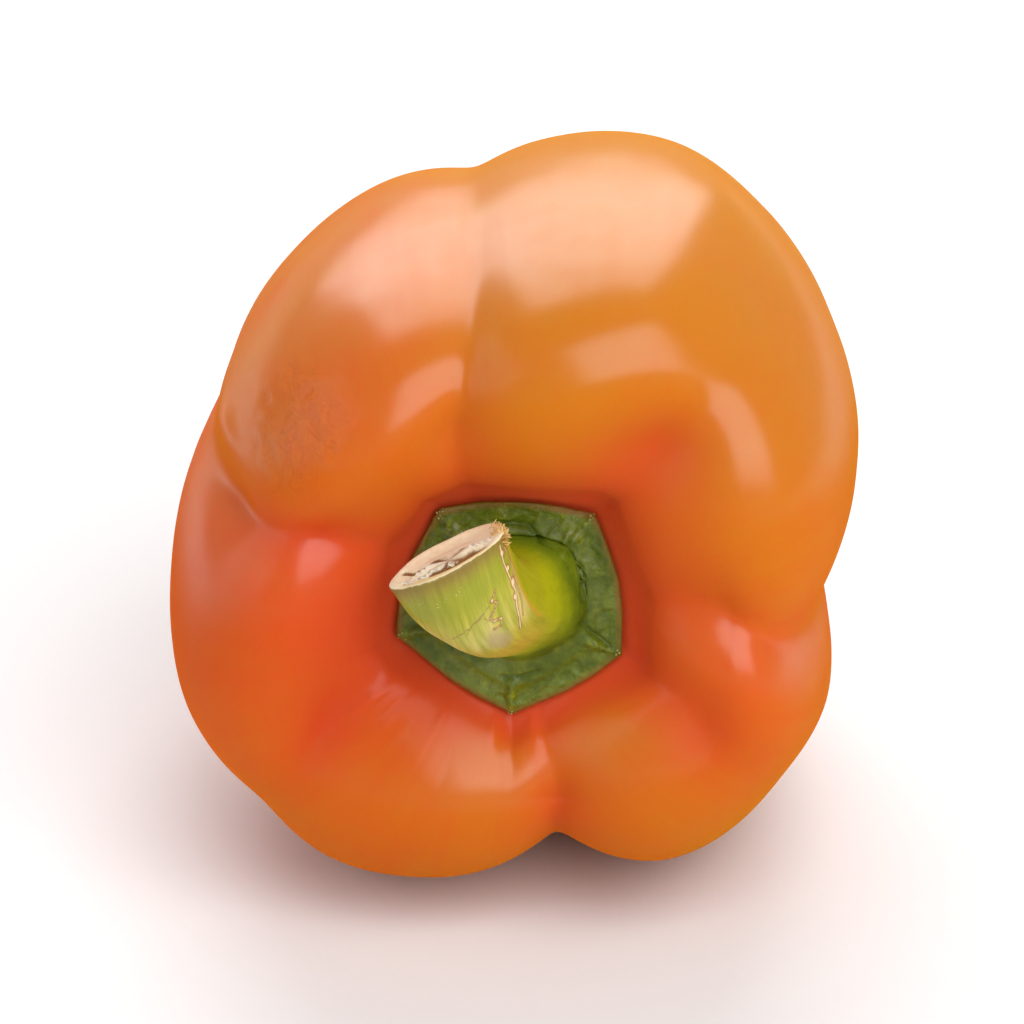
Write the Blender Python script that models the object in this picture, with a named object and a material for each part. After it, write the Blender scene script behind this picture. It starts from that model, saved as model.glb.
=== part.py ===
# A bell pepper as picked: one blocky fruit with four main lobes, lying on its side on two of
# them, and the green stem that ends it, whose foot spreads into a five-pointed calyx.
# The stem end faces -Y, the blossom end +Y, and +Z is up. Lengths are metres.
#
# Every surface is first worked out in the fruit's own frame, whose y axis is the line from the
# stem to the blossom end. An angle round that line is measured in degrees, seen from the stem
# end: 0 points right (+X), 90 points up (+Z).

import math

import bmesh
import bpy
import numpy as np

MM = 0.001

# How the fruit lies
PITCH = math.radians(5.0)  # the stem end is raised, because the fruit is thinner behind
FLAT_DEPTH = 0.55 * MM  # how far the two lowest lobes are pressed flat

# Fineness of the solids
FRUIT_SIDES = 72
FRUIT_RINGS = 46
STEM_SIDES = 72

# The profile of a plain lobe, from the bed of the calyx over the shoulder to the blossom end,
# as the control points of a smooth curve: distance from the axis, place along the axis.
PROFILE = np.array([
    (0.0, -31.0), (6.0, -31.0), (12.8, -31.2), (15.0, -35.0), (18.2, -40.8), (26.0, -45.8),
    (36.4, -44.8), (44.4, -35.0), (47.2, -18.0), (46.8, 0.0), (45.2, 15.0), (42.4, 29.0),
    (36.5, 40.5), (26.0, 46.0), (14.5, 44.4), (6.0, 41.0), (0.0, 40.2),
]) * MM
BED_RADIUS = 13.4 * MM  # out to here the fruit has the outline of the calyx
WALL_RADIUS = 21.0 * MM  # from here on it has nothing of that outline
LOBED_RADIUS = 30.0 * MM  # from here on it has its full lobed outline
PLAIN_RADIUS = 46.6 * MM  # the widest radius that the profile above makes

# The outline round the middle: angle, widest radius
OUTLINE = (
    (5, 43.0), (30, 47.0), (60, 49.8), (85, 46.4), (112, 43.8), (135, 42.2), (160, 42.4),
    (182, 42.4), (205, 44.4), (232, 44.6), (255, 42.4), (278, 42.0), (300, 47.0), (334, 45.0),
    (347, 43.2),
)

# How high each lobe's shoulder stands over the bed of the calyx and how wide it is, as shares
# of the plain profile's, and how far its blossom end stands back
SHOULDER_HEIGHT = (
    (20, 1.06), (70, 1.12), (130, 1.06), (178, 0.90), (240, 0.66), (305, 0.86), (345, 1.06),
)
SHOULDER_WIDTH = ((20, 1.0), (130, 1.0), (200, 1.0), (245, 0.98), (300, 0.90), (345, 1.0))
BLOSSOM_REACH = ((35, 1.2), (128, -0.8), (215, 0.6), (315, 0.0))
WIDTH_SPAN = (5.0 * MM, 35.0 * MM)  # the width changes between these places ahead of the middle
BLOSSOM_SPAN = (10.0 * MM, 38.0 * MM)  # and the blossom end between these places behind it

# The grooves between the lobes and the shallow valleys within them. Each has its angle at the
# calyx and on the side, its half width in degrees, how sharp its bottom is, and its depth at
# the wall of the stem cavity, on the crest, on the shoulder, on the side, low on the side and
# at the blossom end.
GROOVES = (
    {"at": (108, 97), "width": 13, "sharp": 2.5, "depth": (1.6, 5.8, 5.0, 3.6, 4.0, 4.0)},
    {"at": (149, 160), "width": 13, "sharp": 3.0, "depth": (1.4, 5.2, 5.4, 3.4, 2.2, 3.0)},
    {"at": (285, 280), "width": 13, "sharp": 2.0, "depth": (1.2, 5.4, 6.2, 5.8, 4.6, 4.2)},
    {"at": (9, -6), "width": 11, "sharp": 5.0, "depth": (1.2, 5.2, 5.8, 4.4, 3.2, 3.8)},
    {"at": (55, 50), "width": 13, "sharp": 4.5, "depth": (2.0, 6.0, 2.6, 0.3, 0.3, 0.8)},
    {"at": (204, 222), "width": 13, "sharp": 4.0, "depth": (1.0, 4.6, 2.6, 1.0, 2.4, 3.4)},
    {"at": (336, 322), "width": 13, "sharp": 6.0, "depth": (1.4, 3.9, 1.8, 0.6, 0.2, 0.6)},
    {"at": (268, 266), "width": 7, "sharp": 4.0, "depth": (0.8, 0.6, 0.0, 0.0, 0.0, 0.0)},
)
GROOVE_PLACES = (1.6, 3.2, 5.0, 6.7, 9.0, 12.0, 14.2, 15.6)  # counted in profile points
WALL_PLACE = 3.2
SIDE_PLACE = 7.5

# The calyx: for each of its five points the angle, the distance to the tip, and how far the
# edge from there to the next point bulges beyond a straight line
CALYX_TIPS = ((50, 15.4, 1.3), (125, 15.2, 1.2), (195, 14.4, 0.7), (270, 14.0, 0.6), (335, 14.6, 1.2))
CALYX_GAP = 0.45 * MM  # between the calyx and the fruit
UNDERSIDE = (0.25, 0.5, 0.72, 0.88, 0.97)  # the rings of its underside, as shares of the edge
TOP_SIDE = ((1.0, 0.4), (0.95, 0.9), (0.86, 1.3), (0.78, 1.7), (0.72, 2.2))  # share, height (mm)

# The stem: its centre line from the bed of the calyx, and its radius at those points. It comes
# straight out, then turns up and to the left.
STEM_PATH = np.array([
    (0.8, -33.6, 1.8), (0.5, -36.4, 2.1), (-1.2, -40.4, 3.0), (-3.2, -44.6, 4.8),
    (-4.9, -46.9, 7.0), (-6.4, -47.8, 9.4), (-7.6, -47.6, 11.8),
]) * MM
STEM_RADIUS = np.array([8.0, 6.5, 6.0, 6.4, 6.9, 7.2, 7.4]) * MM
STEM_RINGS = 16
STEM_RIBS = 5
FIRST_RIB = math.radians(50)
RIB_HEIGHT = 0.025  # as a share of the stem's radius

# The cut end: rings as shares of the stem's radius, each with its depth below the cut (mm).
# A woody rim stands round a trough, and the pith in the middle stands up again.
CUT_END = ((0.93, -0.15), (0.80, 0.1), (0.62, 0.35), (0.35, 0.2))
PITH_DEPTH = 0.15 * MM

MATERIALS = {
    "fruit": ((0.86, 0.22, 0.02), 0.25),
    "stem": ((0.22, 0.36, 0.05), 0.55),
}


def round_table(angle, table):
    """A smooth closed curve through a table of (angle in degrees, value), read at an angle."""
    knots = np.array([row[0] for row in table], float)
    values = np.array([row[1] for row in table], float)
    knots = np.concatenate([knots[-2:] - 360, knots, knots[:2] + 360])
    values = np.concatenate([values[-2:], values, values[:2]])
    turned = np.mod(angle - knots[1], 360) + knots[1]
    i = np.clip(np.searchsorted(knots, turned, side="right") - 1, 1, len(knots) - 3)
    span = knots[i + 1] - knots[i]
    t = (turned - knots[i]) / span
    slope_a = (values[i + 1] - values[i - 1]) / (knots[i + 1] - knots[i - 1]) * span
    slope_b = (values[i + 2] - values[i]) / (knots[i + 2] - knots[i]) * span
    return (
        (2 * t**3 - 3 * t**2 + 1) * values[i]
        + (t**3 - 2 * t**2 + t) * slope_a
        + (3 * t**2 - 2 * t**3) * values[i + 1]
        + (t**3 - t**2) * slope_b
    )


def smooth_curve(control, places):
    """A uniform cubic B-spline. Places count control points from 0; axis 0 is the control's."""
    last = len(control) - 1
    i = np.clip(np.floor(places).astype(int), 0, last - 1)
    t = (places - i).reshape((-1,) + (1,) * (control.ndim - 1))
    before = 2 * control[0] - control[1]
    after = 2 * control[last] - control[last - 1]
    padded = np.concatenate([before[None], control, after[None]])
    a, b, c, d = (padded[i + k] for k in range(4))
    return (
        (1 - t) ** 3 * a
        + (3 * t**3 - 6 * t**2 + 4) * b
        + (3 * t**2 + 3 * t + 1 - 3 * t**3) * c
        + t**3 * d
    ) / 6


def ease(value, low, high):
    """0 below low, 1 above high, and a smooth step between."""
    t = np.clip((value - low) / (high - low), 0, 1)
    return t * t * (3 - 2 * t)


def eased_table(place, places, values):
    """Values at places, with a smooth step from each to the next."""
    result = np.full(np.shape(place), values[0], float)
    for low, high, before, after in zip(places, places[1:], values, values[1:]):
        result += (after - before) * ease(place, low, high)
    return result


def groove_depth(place, angle):
    """How deep the grooves lie below the plain surface, in metres."""
    depth = np.zeros(np.broadcast(place, angle).shape)
    for groove in GROOVES:
        inner, outer = groove["at"]
        centre = inner + (outer - inner) * ease(place, WALL_PLACE, SIDE_PLACE)
        off = np.abs(np.mod(angle - centre + 180, 360) - 180)
        sharp = groove["sharp"]
        shape = np.exp(-(np.sqrt(off**2 + sharp**2) - sharp) / groove["width"])
        along = eased_table(place, GROOVE_PLACES, (0, *groove["depth"], 0))
        depth = depth + along * shape * MM
    return depth


def fruit_profile(places, angle):
    """Distance from the axis and place along it, for each place (rows) and angle (columns)."""
    wide = round_table(angle, OUTLINE) * MM / PLAIN_RADIUS
    shoulder_height = round_table(angle, SHOULDER_HEIGHT)
    shoulder_width = round_table(angle, SHOULDER_WIDTH)
    blossom = round_table(angle, BLOSSOM_REACH) * MM
    radius, along = PROFILE[:, 0:1], PROFILE[:, 1:2]
    lobed = ease(radius, BED_RADIUS, LOBED_RADIUS)
    wide = wide * (1 + (shoulder_width - 1) * ease(-along, *WIDTH_SPAN))
    bed = (calyx_outline(angle) / BED_RADIUS - 1) * ease(radius, WALL_RADIUS, BED_RADIUS)
    radius = radius * (1 + bed + (wide - 1) * lobed)
    front = np.minimum(along - PROFILE[0, 1], 0)
    back = ease(along, *BLOSSOM_SPAN) * lobed
    along = along + front * (shoulder_height - 1) + blossom * back
    control = np.stack([radius, np.broadcast_to(along, radius.shape)], axis=-1)
    points = smooth_curve(control, places)
    step = 0.02
    ahead = smooth_curve(control, np.minimum(places + step, len(PROFILE) - 1))
    behind = smooth_curve(control, np.maximum(places - step, 0))
    run = ahead - behind
    run /= np.linalg.norm(run, axis=-1, keepdims=True)
    depth = groove_depth(places[:, None], angle[None, :])
    inwards = np.stack([-run[..., 1], run[..., 0]], axis=-1)
    points = points + inwards * depth[..., None]
    return points[..., 0], points[..., 1]


def around_axis(radius, along, angle):
    """Points from cylindrical measures about the fruit's axis."""
    turn = np.radians(angle)
    return np.stack([radius * np.cos(turn), along, radius * np.sin(turn)], axis=-1)


def lay_down(points):
    """Turns points from the fruit's own frame so that it lies with its stem end raised."""
    x, y, z = np.moveaxis(points, -1, 0)
    c, s = math.cos(PITCH), math.sin(PITCH)
    return np.stack([x, y * c + z * s, z * c - y * s], axis=-1)


def fruit_rings(sides, rings):
    """The fruit's rings from the bed of the calyx to the blossom end, without the two poles."""
    angle = np.arange(sides) * 360 / sides
    places = np.linspace(0, len(PROFILE) - 1, rings + 2)
    radius, along = fruit_profile(places, angle)
    poles = [np.array([0, along[k].mean(), 0]) for k in (0, -1)]
    return around_axis(radius[1:-1], along[1:-1], angle), poles


def calyx_outline(angle):
    """Distance from the axis to the edge of the calyx: a five-sided figure with bulging sides."""
    edge = np.zeros(np.shape(angle))
    for k, (tip, distance, bulge) in enumerate(CALYX_TIPS):
        next_tip, next_distance, _ = CALYX_TIPS[(k + 1) % len(CALYX_TIPS)]
        span = (next_tip - tip) % 360
        past = np.mod(angle - tip, 360)
        t = past / span
        a, b = np.radians(past), np.radians(span - past)
        straight = distance * next_distance * math.sin(math.radians(span))
        straight = straight / (distance * np.sin(a) + next_distance * np.sin(b))
        edge = np.where(past < span, (straight + bulge * 4 * t * (1 - t)) * MM, edge)
    return edge


def bed_height(radius, angle):
    """Where the fruit's surface lies along the axis, under a point of the calyx."""
    places = np.linspace(0, SIDE_PLACE, 160)
    surface_radius, along = fruit_profile(places, angle)
    found = [
        np.interp(radius[:, k], surface_radius[:, k], along[:, k]) for k in range(len(angle))
    ]
    return np.stack(found, axis=1)


def stem_rings(sides):
    """The rings of the stem's solid, from the underside of the calyx round its edge, up the
    stem and over the cut end, without the two poles."""
    angle = np.arange(sides) * 360 / sides
    edge = calyx_outline(angle)
    under = np.array(UNDERSIDE)[:, None] * edge
    lower = around_axis(under, bed_height(under, angle) - CALYX_GAP, angle)
    share, height = np.array(TOP_SIDE)[:, :, None].swapaxes(0, 1)
    over = share * edge
    upper = around_axis(over, bed_height(over, angle) - CALYX_GAP - height * MM, angle)
    rings = [*lower, *upper]
    for k in range(STEM_RINGS + 1):
        rings.append(stem_ring(k / STEM_RINGS, 1.0, 0.0, angle))
    for share, depth in CUT_END:
        rings.append(stem_ring(1.0, share, depth * MM, angle))
    bottom = np.array([0, PROFILE[0, 1] - CALYX_GAP, 0])
    centre, forward = stem_line(1.0)[:2]
    return np.array(rings), [bottom, centre - forward * PITH_DEPTH]


def stem_line(share):
    """Centre, direction and radius of the stem at a share of its length."""
    last = len(STEM_PATH) - 1
    place = np.array([share * last])
    centre = smooth_curve(STEM_PATH, place)[0]
    step = 0.01
    ahead = smooth_curve(STEM_PATH, np.minimum(place + step, last))[0]
    behind = smooth_curve(STEM_PATH, np.maximum(place - step, 0))[0]
    forward = (ahead - behind) / np.linalg.norm(ahead - behind)
    radius = smooth_curve(STEM_RADIUS, place)[0]
    return centre, forward, radius


def stem_ring(share, scale, depth, angle):
    """One ring round the stem, whose sides are faintly ribbed."""
    centre, forward, radius = stem_line(share)
    right = np.array([1.0, 0.0, 0.0])
    right -= forward * right.dot(forward)
    right /= np.linalg.norm(right)
    up = np.cross(forward, right)
    turn = np.radians(angle)
    ribs = 1 + RIB_HEIGHT * np.cos(STEM_RIBS * (turn - FIRST_RIB))
    reach = (radius * scale * ribs)[:, None]
    around = np.cos(turn)[:, None] * right + np.sin(turn)[:, None] * up
    return centre - forward * depth + reach * around


def skin(name, rings, poles):
    """A closed mesh through rings of points, with a pole at each end."""
    mesh = bpy.data.meshes.new(name)
    shape = bmesh.new()
    loops = [[shape.verts.new(point) for point in ring] for ring in rings]
    first, last = (shape.verts.new(pole) for pole in poles)
    sides = len(loops[0])
    for k in range(sides):
        n = (k + 1) % sides
        shape.faces.new((first, loops[0][n], loops[0][k]))
        shape.faces.new((last, loops[-1][k], loops[-1][n]))
        for inner, outer in zip(loops, loops[1:]):
            shape.faces.new((inner[k], inner[n], outer[n], outer[k]))
    bmesh.ops.recalc_face_normals(shape, faces=shape.faces)
    shape.to_mesh(mesh)
    shape.free()
    mesh.shade_smooth()
    made = bpy.data.objects.new(name, mesh)
    bpy.context.scene.collection.objects.link(made)
    return made


def press_flat(obj):
    """Cuts the underside level at z = 0, which leaves the flat spots that the fruit lies on."""
    shape = bmesh.new()
    shape.from_mesh(obj.data)
    everything = shape.verts[:] + shape.edges[:] + shape.faces[:]
    cut = bmesh.ops.bisect_plane(
        shape, geom=everything, plane_co=(0, 0, 0), plane_no=(0, 0, -1), clear_outer=True
    )
    edges = [item for item in cut["geom_cut"] if isinstance(item, bmesh.types.BMEdge)]
    bmesh.ops.holes_fill(shape, edges=edges, sides=0)
    bmesh.ops.recalc_face_normals(shape, faces=shape.faces)
    shape.to_mesh(obj.data)
    shape.free()


def paint(obj, colour, roughness):
    material = bpy.data.materials.new(obj.name)
    material.use_nodes = True
    shader = material.node_tree.nodes["Principled BSDF"]
    shader.inputs["Base Color"].default_value = (*colour, 1)
    shader.inputs["Roughness"].default_value = roughness
    shader.inputs["Metallic"].default_value = 0
    obj.data.materials.append(material)


def main():
    for old in list(bpy.data.objects):
        bpy.data.objects.remove(old)

    fruit_points, fruit_poles = fruit_rings(FRUIT_SIDES, FRUIT_RINGS)
    stem_points, stem_poles = stem_rings(STEM_SIDES)
    fruit_points, stem_points = lay_down(fruit_points), lay_down(stem_points)
    fruit_poles, stem_poles = lay_down(np.array(fruit_poles)), lay_down(np.array(stem_poles))

    # The origin is the middle of the object's own box, on the surface that it lies on
    everything = np.concatenate([fruit_points.reshape(-1, 3), stem_points.reshape(-1, 3)])
    low, high = everything.min(axis=0), everything.max(axis=0)
    origin = np.array([(low[0] + high[0]) / 2, (low[1] + high[1]) / 2, low[2] + FLAT_DEPTH])

    fruit = skin("fruit", fruit_points - origin, fruit_poles - origin)
    stem = skin("stem", stem_points - origin, stem_poles - origin)
    press_flat(fruit)
    for obj in (fruit, stem):
        paint(obj, *MATERIALS[obj.name])


main()
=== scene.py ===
# %% [markdown]
# # A bell pepper, lying as it was picked
#
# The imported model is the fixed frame: a fruit and a stem, both plain faceted solids. This lesson
# keeps their sizes and their places, and makes the fine surfaces that the eye sees. Lengths are
# metres. The stem end faces -Y, the blossom end +Y, and +Z is up.

# %% The frame
import math

import bmesh
import bpy
import numpy as np
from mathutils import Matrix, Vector


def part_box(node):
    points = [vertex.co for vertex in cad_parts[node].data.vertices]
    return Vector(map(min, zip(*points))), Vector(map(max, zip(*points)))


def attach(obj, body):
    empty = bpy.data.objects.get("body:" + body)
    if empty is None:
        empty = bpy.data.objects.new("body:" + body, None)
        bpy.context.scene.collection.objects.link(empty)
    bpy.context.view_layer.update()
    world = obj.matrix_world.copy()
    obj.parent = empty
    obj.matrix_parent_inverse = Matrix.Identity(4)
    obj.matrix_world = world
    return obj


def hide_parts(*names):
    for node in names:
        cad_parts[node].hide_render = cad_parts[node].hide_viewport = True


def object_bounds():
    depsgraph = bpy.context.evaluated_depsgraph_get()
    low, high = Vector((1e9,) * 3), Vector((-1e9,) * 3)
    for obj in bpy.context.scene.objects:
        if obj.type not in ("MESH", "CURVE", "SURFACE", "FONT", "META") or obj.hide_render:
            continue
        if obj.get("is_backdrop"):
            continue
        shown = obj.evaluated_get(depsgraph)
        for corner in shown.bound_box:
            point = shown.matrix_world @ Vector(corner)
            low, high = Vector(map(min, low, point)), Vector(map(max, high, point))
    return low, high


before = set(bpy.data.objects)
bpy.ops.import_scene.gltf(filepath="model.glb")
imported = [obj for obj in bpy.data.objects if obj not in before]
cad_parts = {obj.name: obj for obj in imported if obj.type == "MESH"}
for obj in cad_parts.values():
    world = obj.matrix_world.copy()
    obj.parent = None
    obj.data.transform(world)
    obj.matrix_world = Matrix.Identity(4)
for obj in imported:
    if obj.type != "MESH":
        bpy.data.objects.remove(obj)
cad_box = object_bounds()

MM = 0.001
print("nodes of the frame:", sorted(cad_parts))
print("size of the frame in mm:", [round(c / MM, 1) for c in cad_box[1] - cad_box[0]])

# %% [markdown]
# ## Curves and tables
#
# A pepper has no straight line in it, so every measure below is a smooth curve. The profile of a
# lobe is a B-spline: a few control points pull a soft line after them, as a batten bends round
# pins. What changes round the fruit is a closed table of angle and value. Both are short numpy
# functions, because they work on a whole grid of points at once.

# %% A smooth line through a list of control points
def smooth_curve(control, places):
    """A uniform cubic B-spline. Places count control points from 0; axis 0 is the control's."""
    last = len(control) - 1
    i = np.clip(np.floor(places).astype(int), 0, last - 1)
    t = (places - i).reshape((-1,) + (1,) * (control.ndim - 1))
    before = 2 * control[0] - control[1]
    after = 2 * control[last] - control[last - 1]
    padded = np.concatenate([before[None], control, after[None]])
    a, b, c, d = (padded[i + k] for k in range(4))
    return (
        (1 - t) ** 3 * a
        + (3 * t**3 - 6 * t**2 + 4) * b
        + (3 * t**2 + 3 * t + 1 - 3 * t**3) * c
        + t**3 * d
    ) / 6


# %% A smooth closed table, and smooth steps
def round_table(angle, table):
    """A smooth closed curve through a table of (angle in degrees, value), read at an angle."""
    knots = np.array([row[0] for row in table], float)
    values = np.array([row[1] for row in table], float)
    knots = np.concatenate([knots[-2:] - 360, knots, knots[:2] + 360])
    values = np.concatenate([values[-2:], values, values[:2]])
    turned = np.mod(angle - knots[1], 360) + knots[1]
    i = np.clip(np.searchsorted(knots, turned, side="right") - 1, 1, len(knots) - 3)
    span = knots[i + 1] - knots[i]
    t = (turned - knots[i]) / span
    slope_a = (values[i + 1] - values[i - 1]) / (knots[i + 1] - knots[i - 1]) * span
    slope_b = (values[i + 2] - values[i]) / (knots[i + 2] - knots[i]) * span
    return (
        (2 * t**3 - 3 * t**2 + 1) * values[i]
        + (t**3 - 2 * t**2 + t) * slope_a
        + (3 * t**2 - 2 * t**3) * values[i + 1]
        + (t**3 - t**2) * slope_b
    )


def ease(value, low, high):
    """0 at low, 1 at high, and a smooth step between."""
    t = np.clip((value - low) / (high - low), 0, 1)
    return t * t * (3 - 2 * t)


def eased_table(place, places, values):
    """Values at places, with a smooth step from each to the next."""
    result = np.full(np.shape(place), values[0], float)
    for low, high, before, after in zip(places, places[1:], values, values[1:]):
        result += (after - before) * ease(place, low, high)
    return result


def turn_between(angle, centre):
    """The turn from one angle to another in degrees, -180 to 180."""
    return np.mod(angle - centre + 180, 360) - 180


# %% [markdown]
# ## The form of the fruit
#
# A blocky pepper is a hollow berry of three or four lobes. Each lobe swells past the stem, so the
# calyx sits in a dimple, and the lobes meet in grooves that fade towards the blossom end. The
# measures are the same ones that the solid was made from. Angles run round the fruit's axis, seen
# from the stem end: 0 points right, 90 points up.

# %% Sizes of the fruit
PITCH = math.radians(5.0)  # the stem end is raised, because the fruit is thinner behind
PROFILE = np.array([
    (0.0, -31.0), (6.0, -31.0), (12.8, -31.2), (15.0, -35.0), (18.2, -40.8), (26.0, -45.8),
    (36.4, -44.8), (44.4, -35.0), (47.2, -18.0), (46.8, 0.0), (45.2, 15.0), (42.4, 29.0),
    (36.5, 40.5), (26.0, 46.0), (14.5, 44.4), (6.0, 41.0), (0.0, 40.2),
]) * MM
BED_RADIUS = 13.4 * MM  # inside it lies the bed of the calyx
WALL_RADIUS = 21.0 * MM  # outside it the calyx's outline no longer shapes the fruit
LOBED_RADIUS = 30.0 * MM  # outside it the fruit has its full outline
PLAIN_RADIUS = 46.6 * MM  # the radius that the profile is drawn for
OUTLINE = (  # angle, and the fruit's radius in mm before the grooves
    (5, 43.0), (30, 47.0), (60, 49.8), (85, 46.4), (112, 43.8), (135, 42.2), (160, 42.4),
    (182, 42.4), (205, 44.4), (232, 44.6), (255, 42.4), (278, 42.0), (300, 47.0), (334, 45.0),
    (347, 43.2),
)
SHOULDER_HEIGHT = (  # angle, and how far the lobe swells past the stem, 1 as in the profile
    (20, 1.06), (70, 1.12), (130, 1.06), (178, 0.90), (240, 0.66), (305, 0.86), (345, 1.06),
)
SHOULDER_WIDTH = ((20, 1.0), (130, 1.0), (200, 1.0), (245, 0.98), (300, 0.90), (345, 1.0))
BLOSSOM_REACH = ((35, 1.2), (128, -0.8), (215, 0.6), (315, 0.0))  # angle, and mm past the profile
WIDTH_SPAN = (5.0 * MM, 35.0 * MM)  # how far in front of the middle the shoulder's width sets in
BLOSSOM_SPAN = (10.0 * MM, 38.0 * MM)  # how far behind the middle the blossom end's reach sets in

# %% The grooves between the lobes
# "at" is a groove's angle at the calyx and on the side, and "width" its half width in degrees. The
# larger "sharp" is, the rounder is its floor. "depth" is in mm, at six places from the calyx to the
# blossom end, and "red" is how red the floor is painted: its own red and painted shade. The grooves
# that fade on the side are only dents.
GROOVES = (
    {"at": (108, 97), "width": 13, "sharp": 2.5, "depth": (1.6, 5.8, 5.0, 3.6, 4.0, 4.0), "red": 0.35},
    {"at": (149, 160), "width": 13, "sharp": 3.0, "depth": (1.4, 5.2, 5.4, 3.4, 2.2, 3.0), "red": 0.85},
    {"at": (285, 280), "width": 13, "sharp": 2.0, "depth": (1.2, 5.4, 6.2, 5.8, 4.6, 4.2), "red": 0.7},
    {"at": (9, -6), "width": 11, "sharp": 5.0, "depth": (1.2, 5.2, 5.8, 4.4, 3.2, 3.8), "red": 0.45},
    {"at": (55, 50), "width": 13, "sharp": 4.5, "depth": (2.0, 6.0, 2.6, 0.3, 0.3, 0.8), "red": 0.6},
    {"at": (204, 222), "width": 13, "sharp": 4.0, "depth": (1.0, 4.6, 2.6, 1.0, 2.4, 3.4), "red": 0.9},
    {"at": (336, 322), "width": 13, "sharp": 6.0, "depth": (1.4, 3.9, 1.8, 0.6, 0.2, 0.6), "red": 0.9},
    {"at": (268, 266), "width": 7, "sharp": 4.0, "depth": (0.8, 0.6, 0.0, 0.0, 0.0, 0.0), "red": 0.5},
)
GROOVE_PLACES = (1.6, 3.2, 5.0, 6.7, 9.0, 12.0, 14.2, 15.6)  # profile points: 0 at both ends
WALL_PLACE = 3.2  # the profile point in the wall of the dimple
SIDE_PLACE = 7.5  # the profile point on the side of the fruit


def groove_depth(place, angle, weight=None):
    """How deep the grooves lie below the plain surface, in metres, each times a weight of its own."""
    depth = np.zeros(np.broadcast(place, angle).shape)
    for groove in GROOVES:
        inner, outer = groove["at"]
        centre = inner + (outer - inner) * ease(place, WALL_PLACE, SIDE_PLACE)
        off, sharp = turn_between(angle, centre), groove["sharp"]
        shape = np.exp(-(np.sqrt(off**2 + sharp**2) - sharp) / groove["width"])
        along = eased_table(place, GROOVE_PLACES, (0, *groove["depth"], 0))
        depth = depth + along * shape * MM * (groove[weight] if weight else 1)
    return depth


print("grooves and dents:", len(GROOVES))

# %% The edge of the calyx, which the bed in the fruit follows
# For each of its five points: angle, distance from the axis, and bulge of the side after it, in mm.
CALYX_TIPS = ((50, 15.4, 1.3), (125, 15.2, 1.2), (195, 14.4, 0.7), (270, 14.0, 0.6), (335, 14.6, 1.2))


def calyx_outline(angle):
    """Distance from the axis to the edge of the calyx: a five-sided figure with bulging sides."""
    edge = np.zeros(np.shape(angle))
    for k, (tip, distance, bulge) in enumerate(CALYX_TIPS):
        next_tip, next_distance, _ = CALYX_TIPS[(k + 1) % len(CALYX_TIPS)]
        span = (next_tip - tip) % 360
        past = np.mod(angle - tip, 360)
        t = past / span
        a, b = np.radians(past), np.radians(span - past)
        straight = distance * next_distance * math.sin(math.radians(span))
        straight = straight / (distance * np.sin(a) + next_distance * np.sin(b))
        edge = np.where(past < span, (straight + bulge * 4 * t * (1 - t)) * MM, edge)
    return edge


# %% [markdown]
# ## Small forms in the skin
#
# Up close the skin isn't a plain groove and swell. There is a short fold where the lobe at the
# left tucks into its neighbour, a few glossy ridges run out from under the lowest point of the
# calyx, and the blossom end closes in a small corky scar. They are too small for the solid, so
# they are added here, as places on the fruit with a height and two widths.

# %% Small forms: angle, place on the profile, height (mm), half width in degrees, in profile points
SMALL_FORMS = (
    (151, 7.7, 0.9, 3.0, 0.50),
    (158, 7.1, -0.8, 3.5, 0.45),
    (262, 3.1, 0.30, 3.0, 0.45),
    (271, 3.0, -0.15, 3.0, 0.50),
    (279, 3.0, 0.25, 2.6, 0.45),
    (212, 4.2, 0.20, 1.8, 0.70),
    (219, 4.0, -0.16, 2.2, 0.60),
    (228, 4.5, -0.30, 5.0, 0.90),
    (238, 4.0, 0.16, 2.6, 0.70),
    (247, 4.4, -0.12, 3.0, 0.60),
)
SCAR_RADIUS = 1.7 * MM
SCAR_HEIGHT = 0.5 * MM


def small_depth(place, angle):
    """How deep the small forms lie, in metres; a ridge is negative."""
    depth = np.zeros(np.broadcast(place, angle).shape)
    for centre, at, height, turn, run in SMALL_FORMS:
        off = (turn_between(angle, centre) / turn) ** 2 + ((place - at) / run) ** 2
        depth = depth - height * MM * np.exp(-off)
    return depth


# %% The surface of the fruit
SLOPE_STEP = 0.02  # how far each way, in control points, a curve's direction is measured


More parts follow.
